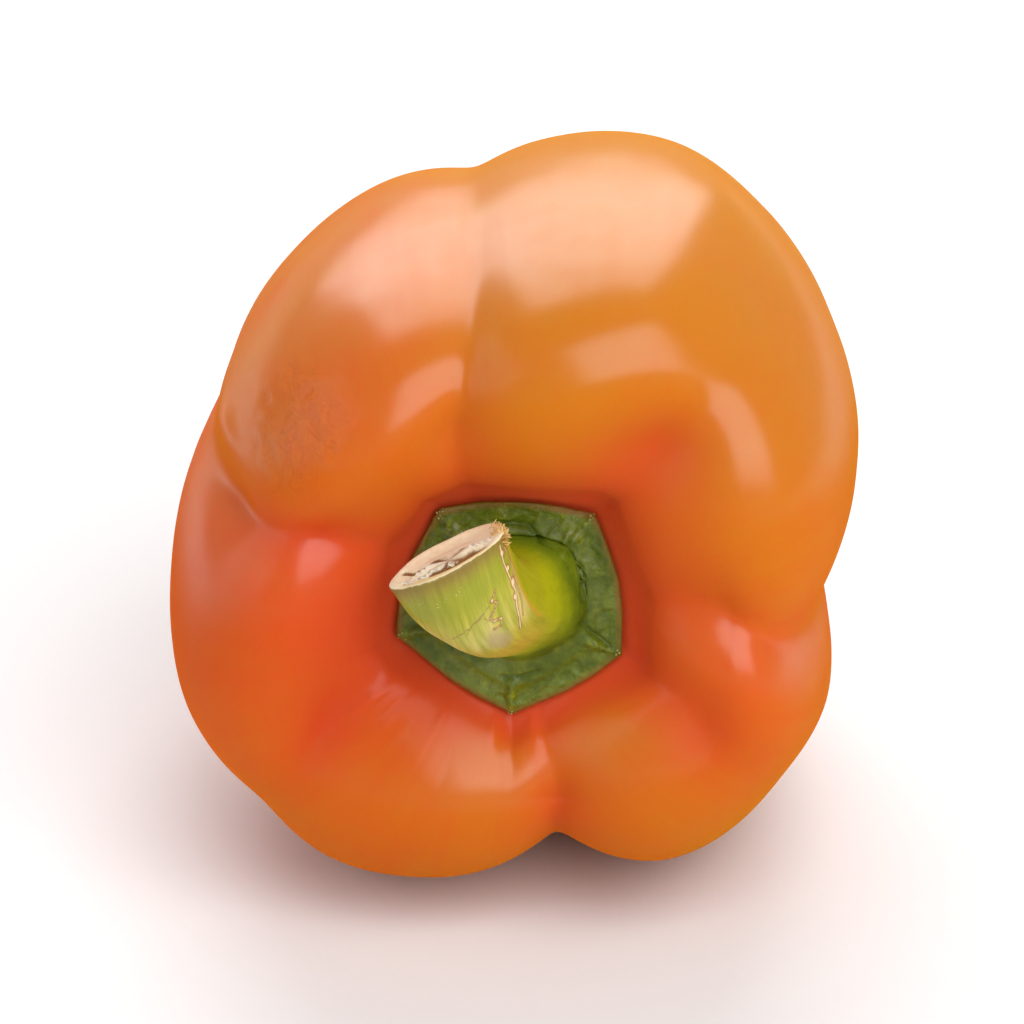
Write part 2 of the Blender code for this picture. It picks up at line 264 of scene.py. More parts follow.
def fruit_profile(places, angle, fine=False):
    """Distance from the axis and place along it, for each place (rows) and angle (columns)."""
    wide = round_table(angle, OUTLINE) * MM / PLAIN_RADIUS
    shoulder_height = round_table(angle, SHOULDER_HEIGHT)
    shoulder_width = round_table(angle, SHOULDER_WIDTH)
    blossom = round_table(angle, BLOSSOM_REACH) * MM
    radius, along = PROFILE[:, 0:1], PROFILE[:, 1:2]
    lobed = ease(radius, BED_RADIUS, LOBED_RADIUS)
    wide = wide * (1 + (shoulder_width - 1) * ease(-along, *WIDTH_SPAN))
    bed = (calyx_outline(angle) / BED_RADIUS - 1) * ease(radius, WALL_RADIUS, BED_RADIUS)
    radius = radius * (1 + bed + (wide - 1) * lobed)
    front = np.minimum(along - PROFILE[0, 1], 0)
    back = ease(along, *BLOSSOM_SPAN) * lobed
    along = along + front * (shoulder_height - 1) + blossom * back
    control = np.stack([radius, np.broadcast_to(along, radius.shape)], axis=-1)
    points = smooth_curve(control, places)
    ahead = smooth_curve(control, np.minimum(places + SLOPE_STEP, len(PROFILE) - 1))
    behind = smooth_curve(control, np.maximum(places - SLOPE_STEP, 0))
    run = ahead - behind
    run /= np.linalg.norm(run, axis=-1, keepdims=True)
    depth = groove_depth(places[:, None], angle[None, :])
    if fine:
        depth = depth + small_depth(places[:, None], angle[None, :])
        scar = ease(points[..., 0], SCAR_RADIUS, SCAR_RADIUS / 2) * (places[:, None] > SIDE_PLACE)
        depth = depth - SCAR_HEIGHT * scar
    inwards = np.stack([-run[..., 1], run[..., 0]], axis=-1)
    points = points + inwards * depth[..., None]
    return points[..., 0], points[..., 1]


# %% From measures round the axis to points in the world
def around_axis(radius, along, angle):
    """Points from cylindrical measures about the fruit's axis."""
    turn = np.radians(angle)
    return np.stack([radius * np.cos(turn), along, radius * np.sin(turn)], axis=-1)


def lay_down(points):
    """Turns points from the fruit's own frame so that it lies with its stem end raised."""
    x, y, z = np.moveaxis(points, -1, 0)
    c, s = math.cos(PITCH), math.sin(PITCH)
    return np.stack([x, y * c + z * s, z * c - y * s], axis=-1)


# %% [markdown]
# ## From rings of points to a closed skin
#
# Both pieces are rings of points one behind the other, closed by a point at each end, so one
# function makes both meshes. Numbers that belong to a place on the surface, such as how deep it
# lies in a groove, are kept with its points as attributes. The finishes read them later.

# %% One closed mesh from rings
def closed_mesh(name, rings, poles):
    """A closed mesh through rings of points, with a point at each end."""
    count, sides = rings.shape[:2]
    points = np.concatenate([rings.reshape(-1, 3), np.array(poles)])
    ring, side = np.meshgrid(np.arange(count - 1), np.arange(sides), indexing="ij")
    here, beside = ring * sides + side, ring * sides + (side + 1) % sides
    walls = np.stack([here, beside, beside + sides, here + sides], axis=-1).reshape(-1, 4)
    first, last = count * sides, count * sides + 1
    end = (count - 1) * sides
    caps = [(first, (k + 1) % sides, k) for k in range(sides)]
    caps += [(last, end + k, end + (k + 1) % sides) for k in range(sides)]
    mesh = bpy.data.meshes.new(name)
    mesh.from_pydata(points.tolist(), [], walls.tolist() + caps)
    shape = bmesh.new()
    shape.from_mesh(mesh)
    bmesh.ops.recalc_face_normals(shape, faces=shape.faces)
    shape.to_mesh(mesh)
    shape.free()
    mesh.shade_smooth()
    made = bpy.data.objects.new(name, mesh)
    bpy.context.scene.collection.objects.link(made)
    return made


def keep_with_points(obj, name, values, at_poles):
    """Stores one number, or three, with each point of a closed mesh."""
    values = np.asarray(values, float)
    wide = values.ndim == 3
    flat = values.reshape(-1, 3) if wide else values.reshape(-1)
    flat = np.concatenate([flat, np.array(at_poles, float)])
    kind, field = ("FLOAT_VECTOR", "vector") if wide else ("FLOAT", "value")
    attribute = obj.data.attributes.new(name, kind, "POINT")
    attribute.data.foreach_set(field, flat.ravel())


# %% The skin of the fruit, fitted to the frame
FRUIT_SIDES = 400
FRUIT_RINGS = 228
fruit_angle = np.arange(FRUIT_SIDES) * 360 / FRUIT_SIDES
fruit_places = np.linspace(0, len(PROFILE) - 1, FRUIT_RINGS + 2)
radius, along = fruit_profile(fruit_places, fruit_angle, fine=True)
fruit_poles = lay_down(np.array([[0, along[k].mean(), 0] for k in (0, -1)]))
fruit_rings = lay_down(around_axis(radius[1:-1], along[1:-1], fruit_angle))
fruit_places = fruit_places[1:-1]

low, high = fruit_rings.min(axis=(0, 1)), fruit_rings.max(axis=(0, 1))
cad_low, cad_high = (np.array(corner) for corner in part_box("fruit"))
ORIGIN = (low + high - cad_low - cad_high) / 2
ORIGIN[2] = high[2] - cad_high[2]
fruit = closed_mesh("pepper_fruit", fruit_rings - ORIGIN, fruit_poles - ORIGIN)
print("the fruit's own origin in the world, in mm:", (-ORIGIN / MM).round(2))
print("triangles in the skin:", 2 * FRUIT_SIDES * FRUIT_RINGS)

# %% [markdown]
# ## What the skin knows about itself
#
# A ripe pepper isn't one orange. It is deepest red where the lobes fold in and round the calyx,
# and most yellow on the crests. Part of both is painted light: the folds and the dimple are painted
# redder as painted shade, the dimple's brighter red is a painted glow, and the lit sides are painted
# yellower. Each such fact is a number kept with every point, because a finish can read numbers but
# doesn't know the form. `blush_and_shade` is 1 where the skin is reddest, its own red and painted shade,
# `dimple` where it sinks in round the stem, and `lit_yellow` how yellow a side is, its own tone and
# painted light where it is lit. `polish` is how much of the waxy gloss shows: it is held back low
# down, in the dimple and on one patch, where the photograph has no highlight. `creased` marks the
# fine wrinkles on the upper left.
# `lengthwise` is a map in which the way from stem to blossom is squeezed short, so that noise read
# on it becomes streaks along the lobes.

# %% Numbers kept with the points of the skin
# the red of the grooves and the dimple: the skin's own red and painted shade, brighter in the dimple as
# a painted glow
BLUSH_DEPTH = 6.5 * MM  # a groove this deep is as red as it gets
BLUSH_CURVE = 1.2
SIDE_BLUSH = 0.35  # the share of a groove's red that is left on the side of the fruit
DIMPLE_BLUSH = 0.85
DIMPLE_EDGE = 2.4  # the profile point where the red of the dimple starts to fade
DIMPLE_REACH = (  # angle, and the profile point where it has faded
    (22, 6.0), (48, 6.4), (75, 5.8), (97, 5.4), (118, 5.0), (148, 5.4), (176, 6.6), (202, 5.6),
    (235, 5.4), (265, 4.4), (290, 4.3), (312, 4.3), (334, 4.8), (353, 4.6),
)
SHOULDER = (5.0, 8.0)  # profile points between which the red of the grooves fades
LIT_YELLOW_SIDE = (  # angle, and how yellow that side is: its own tone, and painted light where it is lit
    (0, 0.40), (40, 0.85), (75, 1.0), (105, 0.65), (130, 0.5), (150, 0.4), (178, 0.0), (205, 0.15),
    (232, 0.4), (262, 0.65), (285, 0.5), (310, 0.6), (340, 0.35),
)
CREASED_PATCH = (137, 6.5, 13, 0.85)  # angle, place, half width in degrees, in profile points
MATT_PATCH = (226, 4.4, 17, 1.1)  # the same measures, of the duller skin at the lower left
MATT_LOSS = 0.8  # the share of the polish that is missing in the middle of that patch
DIMPLE_LOSS = 0.7  # and in the dimple
LOW_POLISH = 0.12  # the polish of skin that faces sideways or down
POLISHED_SLOPE = (0.05, 0.42)  # how far up skin faces, where the polish starts and where it is full
STREAK_SQUEEZE = 0.07
STREAK_RADIUS = 40 * MM

depth = groove_depth(fruit_places[:, None], fruit_angle[None, :], "red")
deep = np.clip(depth / BLUSH_DEPTH, 0, 1) ** BLUSH_CURVE
near_stem = 1 - ease(fruit_places, *SHOULDER)[:, None]
dimple = 1 - ease(fruit_places[:, None], DIMPLE_EDGE, round_table(fruit_angle, DIMPLE_REACH))
fading = SIDE_BLUSH + (1 - SIDE_BLUSH) * near_stem
blush_and_shade = 1 - (1 - deep * fading) * (1 - DIMPLE_BLUSH * dimple)
keep_with_points(fruit, "blush_and_shade", blush_and_shade, (1, 0.4))
keep_with_points(fruit, "dimple", dimple + 0 * blush_and_shade, (1, 0))
# yellower where a side is lit: painted light, over the skin's own tone
lit_yellow = round_table(fruit_angle, LIT_YELLOW_SIDE) + 0 * blush_and_shade
keep_with_points(fruit, "lit_yellow", lit_yellow, (0.5, 0.5))
print("share of the skin that is more red than orange:", float((blush_and_shade > 0.5).mean().round(3)))


# %% Polish and wrinkles
def off_patch(patch):
    """Squared distance of the skin's points from the middle of a patch, in its half widths."""
    turn, place, turn_width, place_width = patch
    off = (turn_between(fruit_angle, turn)[None, :] / turn_width) ** 2
    return off + ((fruit_places[:, None] - place) / place_width) ** 2


normals = np.empty(3 * len(fruit.data.vertices))
fruit.data.vertices.foreach_get("normal", normals)
upward = normals.reshape(-1, 3)[:-2, 2].reshape(blush_and_shade.shape)
polish = LOW_POLISH + (1 - LOW_POLISH) * ease(upward, *POLISHED_SLOPE)
polish = polish * (1 - DIMPLE_LOSS * dimple) * (1 - MATT_LOSS * np.exp(-off_patch(MATT_PATCH)))
keep_with_points(fruit, "polish", polish, (0.2, 0.5))
keep_with_points(fruit, "creased", np.exp(-off_patch(CREASED_PATCH) ** 2), (0, 0))
print("mean polish of the skin:", float(polish.mean().round(3)))

# %% The scar at the blossom end, and the lengthwise map
scar = ease(radius[1:-1], SCAR_RADIUS * 1.3, SCAR_RADIUS * 0.8)
scar = scar * (fruit_places[:, None] > SIDE_PLACE)
keep_with_points(fruit, "blossom_scar", scar, (0, 1))

steps = np.diff(fruit_rings, axis=0, prepend=fruit_rings[:1])
run = np.cumsum(np.linalg.norm(steps, axis=-1), axis=0).mean(axis=1)
level = np.zeros(radius[1:-1].shape)
lengthwise = around_axis(STREAK_RADIUS + level, run[:, None] * STREAK_SQUEEZE + level, fruit_angle)
poles = [lengthwise[k].mean(axis=0) for k in (0, -1)]
keep_with_points(fruit, "lengthwise", lengthwise, poles)
print("length of the skin from stem to blossom end in mm:", float((run[-1] / MM).round(1)))

# %% [markdown]
# ## Sums of sockets
#
# Blender's nodes add and multiply one pair at a time, which is slow to write and hard to read.
# This class wraps one output socket, so that `1 - mask * 0.5` in Python adds the Math nodes that
# say so. It serves both the surfaces' shaders and Geometry Nodes, which share these nodes.

# %% A socket that can be reckoned with
class Value:
    """An output socket. Sums, products and powers of values add Math nodes."""

    def __init__(self, nodes, socket):
        self.nodes = nodes
        self.socket = socket

    def math(self, operation, *terms):
        return self.nodes.add("ShaderNodeMath", {"operation": operation}, dict(enumerate(terms)))

    def __add__(self, other):
        return self.math("ADD", self, other)

    def __sub__(self, other):
        return self.math("SUBTRACT", self, other)

    def __rsub__(self, other):
        return self.math("SUBTRACT", other, self)

    def __mul__(self, other):
        return self.math("MULTIPLY", self, other)

    def __rtruediv__(self, other):
        return self.math("DIVIDE", other, self)

    def __pow__(self, other):
        return self.math("POWER", self, other)

    def __abs__(self):
        return self.math("ABSOLUTE", self)

    __radd__ = __add__
    __rmul__ = __mul__

    def also(self, output):
        """Another output of the same node."""
        return Value(self.nodes, self.socket.node.outputs[output])

    def ramp(self, low, high):
        """A smooth step: 0 at low, 1 at high. With low above high it falls instead."""
        settings = {"interpolation_type": "SMOOTHSTEP"}
        if low < high:
            return self.nodes.add("ShaderNodeMapRange", settings, {0: self, 1: low, 2: high, 3: 0, 4: 1})
        return self.nodes.add("ShaderNodeMapRange", settings, {0: self, 1: high, 2: low, 3: 1, 4: 0})


# %% One method adds any node
class Nodes:
    """Adds nodes to one tree. Settings are set first, then the sockets' values or links."""

    def __init__(self, tree):
        self.tree = tree

    def add(self, kind, settings=None, inputs=None, output=0):
        made = self.tree.nodes.new(kind)
        for name, setting in (settings or {}).items():
            setattr(made, name, setting)
        for name, given in (inputs or {}).items():
            self.feed(made.inputs[name], given)
        return Value(self, made.outputs[output])

    def feed(self, socket, given):
        if isinstance(given, Value):
            self.tree.links.new(given.socket, socket)
        else:
            socket.default_value = given

    def noise(self, place, size, detail=2.0, roughness=0.5, distortion=0.0):
        """Soft noise whose lumps are about one size across, from 0 to 1."""
        return self.add("ShaderNodeTexNoise", None, {
            "Vector": place, "Scale": 1 / size, "Detail": detail,
            "Roughness": roughness, "Distortion": distortion,
        })

    def blend(self, share, first, second):
        """A colour between two colours."""
        return self.add("ShaderNodeMix", {"data_type": "RGBA"}, {0: share, 6: first, 7: second}, 2)


# %% [markdown]
# ## Relief by Geometry Nodes
#
# Skin and calyx both have relief that follows the surface: slow swells, and wrinkles in marked
# places. It could be sculpted, but a rule is even all over and can be tuned. This tree pushes each
# point out along its normal by noise. Its sizes are named inputs, so the same tree serves the
# glossy fruit and the leathery calyx. Points that would sink through the surface that the pepper
# lies on are set level with it, which keeps the flat spots it rests on.

# %% A tree with named inputs, and how it is run on a piece
SOCKET_KINDS = {float: "NodeSocketFloat", int: "NodeSocketInt", str: "NodeSocketString"}


def geometry_tree(name, **sizes):
    """A Geometry Nodes tree with one input for each named size, and a material."""
    tree = bpy.data.node_groups.new(name, "GeometryNodeTree")
    tree.interface.new_socket("Geometry", in_out="INPUT", socket_type="NodeSocketGeometry")
    for label, size in sizes.items():
        kind = SOCKET_KINDS[type(size)]
        socket = tree.interface.new_socket(label, in_out="INPUT", socket_type=kind)
        socket.default_value = size
    tree.interface.new_socket("Material", in_out="INPUT", socket_type="NodeSocketMaterial")
    tree.interface.new_socket("Geometry", in_out="OUTPUT", socket_type="NodeSocketGeometry")
    nodes = Nodes(tree)
    start = tree.nodes.new("NodeGroupInput")
    given = {socket.name: Value(nodes, socket) for socket in start.outputs if socket.name}
    return nodes, given


def end_tree(nodes, geometry, material):
    """Makes copies real, gives them their material and ends the tree."""
    real = nodes.add("GeometryNodeRealizeInstances", None, {0: geometry})
    dressed = nodes.add("GeometryNodeSetMaterial", None, {"Geometry": real, "Material": material})
    end = nodes.tree.nodes.new("NodeGroupOutput")
    nodes.feed(end.inputs[0], dressed)
    return nodes.tree


def run_tree(obj, tree, **sizes):
    """Runs a tree on a piece and keeps the result as the piece's plain mesh."""
    modifier = obj.modifiers.new(tree.name, "NODES")
    modifier.node_group = tree
    for item in tree.interface.items_tree:
        if item.in_out == "INPUT" and item.name in sizes:
            modifier[item.identifier] = sizes[item.name]
    graph = bpy.context.evaluated_depsgraph_get()
    mesh = bpy.data.meshes.new_from_object(
        obj.evaluated_get(graph), preserve_all_data_layers=True, depsgraph=graph
    )
    obj.modifiers.remove(modifier)
    mesh.name = obj.name
    obj.data = mesh
    print(f"{tree.name} on {obj.name}: {len(mesh.polygons)} faces")


# %% The relief tree
MEAN_FOLD = 0.4  # about a fold's middle height, taken off so that wrinkles don't swell the piece
ABOVE_SURFACE = (-1, -1, 0)  # the lowest place that a point may have: only its height is held


def relief_tree():
    """Swells all over, and wrinkles where the attribute "creased" says so."""
    nodes, given = geometry_tree(
        "relief", swell_height=0.0004, swell_size=0.018, wrinkle_height=0.0001, wrinkle_size=0.003,
    )
    place = nodes.add("GeometryNodeInputPosition")
    creased = nodes.add("GeometryNodeInputNamedAttribute", {"data_type": "FLOAT"}, {"Name": "creased"})
    swell = nodes.add("ShaderNodeTexNoise", None, {
        "Vector": place, "Scale": 1 / given["swell_size"], "Detail": 1.0,
    })
    wrinkle = nodes.add("ShaderNodeTexNoise", None, {
        "Vector": place, "Scale": 1 / given["wrinkle_size"], "Detail": 2.0, "Distortion": 0.6,
    })
    fold = (1 - abs(wrinkle * 2 - 1)) ** 4
    folded = (fold - MEAN_FOLD) * creased * given["wrinkle_height"]
    height = (swell - 0.5) * given["swell_height"] + folded
    normal = nodes.add("GeometryNodeInputNormal")
    push = nodes.add("ShaderNodeVectorMath", {"operation": "SCALE"}, {0: normal, "Scale": height})
    pushed = nodes.add("GeometryNodeSetPosition", None, {"Geometry": given["Geometry"], "Offset": push})
    level = nodes.add("ShaderNodeVectorMath", {"operation": "MAXIMUM"}, {0: place, 1: ABOVE_SURFACE})
    rested = nodes.add("GeometryNodeSetPosition", None, {"Geometry": pushed, "Position": level})
    return end_tree(nodes, rested, given["Material"])


relief = relief_tree()

# %% [markdown]
# ## The finish of the skin
#
# Pepper skin is a clear waxy film over juicy flesh. The light that enters it comes out again a
# little way off and redder, so the shader scatters light under the surface, red furthest. Over
# that lies a thin coat, which gives all the gloss. It is weaker where `polish` is low and where the
# skin is seen edge on. The colour runs from yellow-orange on the crests to red in the folds, with
# soft clouds and faint streaks along each lobe. The yellow of the lit sides is partly painted light,
# the red of the folds partly painted shade, and the brighter red of the dimple a painted glow.

# %% Colours as they look on screen
def tint(red, green, blue):
    """A colour given as 0 to 255 on screen, as the linear values that shaders reckon in."""
    return tuple(
        c / 12.92 if c <= 0.04045 else ((c + 0.055) / 1.055) ** 2.4
        for c in (red / 255, green / 255, blue / 255)
    ) + (1.0,)


def new_finish(name, **fixed):
    """A material with its Principled shader, whose fixed numbers are set straight on it."""
    material = bpy.data.materials.new(name)
    material.use_nodes = True
    nodes = Nodes(material.node_tree)
    shader = material.node_tree.nodes["Principled BSDF"]
    for label, given in fixed.items():
        shader.inputs[label.replace("_", " ")].default_value = given
    return material, nodes, shader


def surface_number(nodes, name, output="Fac"):
    """A number or a vector that was kept with the points of the piece."""
    return nodes.add("ShaderNodeAttribute", {"attribute_name": name}, output=output)


# %% The skin
RIPE = tint(196, 116, 20)
DEEP_ORANGE = tint(204, 82, 28)
GROOVE_RED_AND_SHADE = tint(204, 60, 32)
DIMPLE_RED_AND_GLOW = tint(212, 74, 40)
SCAR_BROWN = tint(150, 108, 62)


def skin_finish():
    material, nodes, shader = new_finish(
        "pepper_skin", Subsurface_Weight=0.5, Subsurface_Scale=0.004, Specular_IOR_Level=0.0,
        Coat_Roughness=0.25, Coat_IOR=1.5,
    )
    shader.inputs["Subsurface Radius"].default_value = (1.0, 0.28, 0.08)
    place = nodes.add("ShaderNodeTexCoord", output="Object")
    lengthwise = surface_number(nodes, "lengthwise", "Vector")
    blush_and_shade = surface_number(nodes, "blush_and_shade")
    dimple = surface_number(nodes, "dimple")
    lit_yellow = surface_number(nodes, "lit_yellow")
    scar = surface_number(nodes, "blossom_scar")
    creased = surface_number(nodes, "creased")
    polish = surface_number(nodes, "polish")

    clouds = nodes.noise(place, 0.022, 2)
    mottle = nodes.noise(place, 0.0035, 3)
    streaks = nodes.noise(lengthwise, 0.0016, 3, 0.6)
    flutes = nodes.noise(lengthwise, 0.0040, 1)
    # painted light: the lit sides lean to yellow, the shaded left to deep orange
    tone = lit_yellow + (clouds - 0.5) * 0.7 + (streaks - 0.5) * 0.22 + (mottle - 0.5) * 0.14
    orange = nodes.blend(tone.ramp(-0.1, 1.1), DEEP_ORANGE, RIPE)
    # painted shade: the folds are reddened; painted glow: the dimple is a brighter red
    red = nodes.blend(dimple, GROOVE_RED_AND_SHADE, DIMPLE_RED_AND_GLOW)
    reddened = nodes.blend((blush_and_shade + (clouds - 0.5) * 0.25 * blush_and_shade).ramp(0, 1), orange, red)
    colour = nodes.blend(scar, reddened, SCAR_BROWN)
    nodes.feed(shader.inputs["Base Color"], colour)
    nodes.feed(shader.inputs["Roughness"], 0.5 + (streaks - 0.5) * 0.2 + scar * 0.3)

    edge_on = nodes.add("ShaderNodeLayerWeight", None, {"Blend": 0.5}, 1)
    wax = 0.85 + (streaks - 0.5) * 0.3 + (mottle - 0.5) * 0.3 - creased * 0.15
    gloss = wax * polish * (1 - edge_on.ramp(0.45, 0.95) * 0.9) * (1 - scar * 0.8)
    nodes.feed(shader.inputs["Coat Weight"], gloss)

    pores = nodes.noise(place, 0.0009, 2)
    wrinkles = 1 - abs(nodes.noise(place, 0.0024, 3, 0.55, 0.9) * 2 - 1)
    height = streaks * 0.000004 + flutes * 0.00008 + pores * 0.000002
    height = height + (wrinkles ** 3) * creased * 0.00022
    bump = nodes.add("ShaderNodeBump", None, {"Strength": 1.0, "Distance": 1.0, "Height": height})
    nodes.feed(shader.inputs["Normal"], bump)
    return material


run_tree(
    fruit, relief, swell_height=0.6 * MM, swell_size=19 * MM, wrinkle_height=0.4 * MM,
    wrinkle_size=2.8 * MM, Material=skin_finish(),
)

# %% [markdown]
# ## The calyx and the stem
#
# The stem is the fruit's stalk, cut when it was picked. Its foot spreads into the calyx, a
# leathery five-pointed plate pressed against the fruit. One skin runs from under the calyx, round
# its edge, up the stem and over the cut, because they grew as one. The rings of the solid are
# worked out from its own rule, and finer rings are run smoothly through them.

# %% Sizes of the calyx and the stem
CALYX_GAP = 0.45 * MM  # between the fruit and the calyx, as in the solids
UNDERSIDE = (0.25, 0.5, 0.72, 0.88, 0.97)  # shares of the way out to the edge
TOP_SIDE = ((1.0, 0.4), (0.95, 0.9), (0.86, 1.3), (0.78, 1.7), (0.72, 2.2))  # share, height (mm)
STEM_PATH = np.array([
    (0.8, -33.6, 1.8), (0.5, -36.4, 2.1), (-1.2, -40.4, 3.0), (-3.2, -44.6, 4.8),
    (-4.9, -46.9, 7.0), (-6.4, -47.8, 9.4), (-7.6, -47.6, 11.8),
]) * MM
STEM_RADIUS = np.array([8.0, 6.5, 6.0, 6.4, 6.9, 7.2, 7.4]) * MM
STEM_RINGS = 16
STEM_RIBS = 5
FIRST_RIB = math.radians(50)
RIB_HEIGHT = 0.025  # as a share of the stem's radius
CUT_END = ((0.93, -0.15), (0.80, 0.1), (0.62, 0.35), (0.35, 0.2))  # share, depth (mm)
PITH_DEPTH = 0.15 * MM
EDGE_RING = len(UNDERSIDE)
FOOT_RING = EDGE_RING + len(TOP_SIDE)
RIM_RING = FOOT_RING + STEM_RINGS
BED_SAMPLES = 160


# %% Rings of the calyx and the stem
def bed_height(radius, angle):
    """Where the fruit's surface lies along the axis, under a point of the calyx."""
    surface_radius, along = fruit_profile(np.linspace(0, SIDE_PLACE, BED_SAMPLES), angle)
    found = [
        np.interp(radius[:, k], surface_radius[:, k], along[:, k]) for k in range(len(angle))
    ]
    return np.stack(found, axis=1)


def stem_line(share):
    """Centre, direction and radius of the stem at a share of its length."""
    last = len(STEM_PATH) - 1
    place = np.array([share * last])
    centre = smooth_curve(STEM_PATH, place)[0]
    ahead = smooth_curve(STEM_PATH, np.minimum(place + SLOPE_STEP, last))[0]
    behind = smooth_curve(STEM_PATH, np.maximum(place - SLOPE_STEP, 0))[0]
    forward = (ahead - behind) / np.linalg.norm(ahead - behind)
    return centre, forward, smooth_curve(STEM_RADIUS, place)[0]


def stem_ring(share, scale, depth, angle):
    """One ring round the stem, whose sides are faintly ribbed."""
    centre, forward, radius = stem_line(share)
    right = np.array([1.0, 0.0, 0.0])
    right -= forward * right.dot(forward)
    right /= np.linalg.norm(right)
    up = np.cross(forward, right)
    turn = np.radians(angle)
    ribs = 1 + RIB_HEIGHT * np.cos(STEM_RIBS * (turn - FIRST_RIB))
    reach = (radius * scale * ribs)[:, None]
    around = np.cos(turn)[:, None] * right + np.sin(turn)[:, None] * up
    return centre - forward * depth + reach * around


def stem_rings(angle):
    """The rings of the solid, from under the calyx round its edge, up the stem and over the cut."""
    edge = calyx_outline(angle)
    under = np.array(UNDERSIDE)[:, None] * edge
    share, height = np.array(TOP_SIDE)[:, :, None].swapaxes(0, 1)
    over = share * edge
    rings = [
        *around_axis(under, bed_height(under, angle) - CALYX_GAP, angle),
        *around_axis(over, bed_height(over, angle) - CALYX_GAP - height * MM, angle),
    ]
    rings += [stem_ring(k / STEM_RINGS, 1.0, 0.0, angle) for k in range(STEM_RINGS + 1)]
    rings += [stem_ring(1.0, share, depth * MM, angle) for share, depth in CUT_END]
    return np.array(rings)


# %% Finer rings through the rings of the solid
STEM_SIDES = 400
STEM_LOOPS = 236


def through_rings(rings, knots, at):
    """Rings at other places, on smooth curves through the given rings."""
    slope = np.gradient(rings, knots, axis=0)
    i = np.clip(np.searchsorted(knots, at, side="right") - 1, 0, len(knots) - 2)
    span = (knots[i + 1] - knots[i])[:, None, None]
    t = (at - knots[i])[:, None, None] / span
    return (
        (2 * t**3 - 3 * t**2 + 1) * rings[i]
        + (t**3 - 2 * t**2 + t) * slope[i] * span
        + (3 * t**2 - 2 * t**3) * rings[i + 1]
        + (t**3 - t**2) * slope[i + 1] * span
    )


stem_angle = np.arange(STEM_SIDES) * 360 / STEM_SIDES
solid_rings = stem_rings(stem_angle)
gaps = np.linalg.norm(np.diff(solid_rings, axis=0), axis=-1).mean(axis=1)
knots = np.concatenate([[0], np.cumsum(gaps)])
at = np.linspace(0, knots[-1], STEM_LOOPS)
stem_surface = through_rings(solid_rings, knots, at)
ring_number = np.interp(at, knots, np.arange(len(knots)))
print("length of skin from under the calyx to the pith, in mm:", round(knots[-1] / MM, 1))

# %% [markdown]
# ## Marks on the calyx, the stem and the cut
#
# What makes this stem a real one are its marks: the ridges that run to the five points, the creases
# round the foot, painted darker as painted shade, a corky line and some scratches that healed over,
# a row of tiny pale pores under the rim, and the torn pith of the cut. Each is a line or a spot in
# a flat map of its part. The distance to it gives both a height, here, and a colour, in the finish.

# %% Distances in flat maps of the parts
def line_distance(points, line):
    """Distance of flat points from a line through a few flat points."""
    nearest = np.full(points.shape[:-1], np.inf)
    for a, b in zip(line, line[1:]):
        a, b = np.array(a, float), np.array(b, float)
        share = np.clip(((points - a) @ (b - a)) / ((b - a) @ (b - a)), 0, 1)
        nearest = np.minimum(nearest, np.linalg.norm(points - a - share[..., None] * (b - a), axis=-1))
    return nearest


def spot(distance, width):
    """1 on a line or a spot, fading to 0 over a width."""
    return np.exp(-((distance / width) ** 2))


def calyx_point(angle, radius):
    """A point of the calyx's flat map, in mm."""
    return (radius * math.cos(math.radians(angle)), radius * math.sin(math.radians(angle)))


STEM_ROUND = 7.0  # mm, the radius at which the stem's map is unrolled
PITH_RING = RIM_RING + len(CUT_END) + 1
stem_length = knots[RIM_RING] - knots[FOOT_RING]
calyx_map = stem_surface[..., (0, 2)] / MM
stem_share = (ring_number - FOOT_RING) / STEM_RINGS
cut_shares = (1, *(share for share, depth in CUT_END), 0)
cut_share = np.interp(ring_number, range(RIM_RING, PITH_RING + 1), cut_shares)


def stem_point(turn, share):
    """A point of the stem's flat map, in mm: round it, and along it."""
    return (math.radians(turn) * STEM_ROUND, share * stem_length / MM)


stem_map = np.stack(np.broadcast_arrays(
    np.radians(stem_angle)[None, :] * STEM_ROUND, stem_share[:, None] * stem_length / MM
), axis=-1)


def stem_line_distance(line):
    """Distance of the stem's points from a line through points given by turn and share."""
    return line_distance(stem_map, [stem_point(*point) for point in line])


on_top = (ring_number > EDGE_RING)[:, None] & (ring_number < FOOT_RING + 1.5)[:, None]
on_stem = (ring_number >= FOOT_RING)[:, None] & (ring_number <= RIM_RING)[:, None]
on_cut = (ring_number > RIM_RING)[:, None]
from_axis = np.hypot(calyx_map[..., 0], calyx_map[..., 1])
edge_share = from_axis / (calyx_outline(stem_angle)[None, :] / MM)

# %% The calyx: ridges to the points, creases round the foot, a thin lip, and where it wrinkles
# A place on the calyx is its angle and its distance from the axis in mm.
FOOT_RADIUS = 8.8  # mm
CREASES = (
    ((100, 10.9), (88, 10.8), (79, 10.7), (70, 9.6), (55, 9.0), (43, 8.7)),
    ((36, 10.0), (26, 9.5), (18, 9.0), (10, 8.7)),
    ((350, 8.4), (344, 9.6), (337, 12.6)),
    ((292, 8.6), (276, 8.8), (262, 8.8)),
    ((215, 8.9), (190, 9.0), (165, 9.0)),
)
crease = np.zeros(from_axis.shape)
for line in CREASES:
    points = [calyx_point(*point) for point in line]
    crease = np.maximum(crease, spot(line_distance(calyx_map, points), 0.30))
foot_ring = spot(from_axis - FOOT_RADIUS, 0.55)
ridge = np.zeros(from_axis.shape)
for tip, distance, _ in CALYX_TIPS:
    points = [calyx_point(tip, 9.5), calyx_point(tip, distance)]
    ridge = np.maximum(ridge, spot(line_distance(calyx_map, points), 0.55))
lip = spot((edge_share - 0.975) / 0.025, 1)
leaf = ease(from_axis, 9.2, 11.4) * ease(edge_share, 1.0, 0.9) * on_top
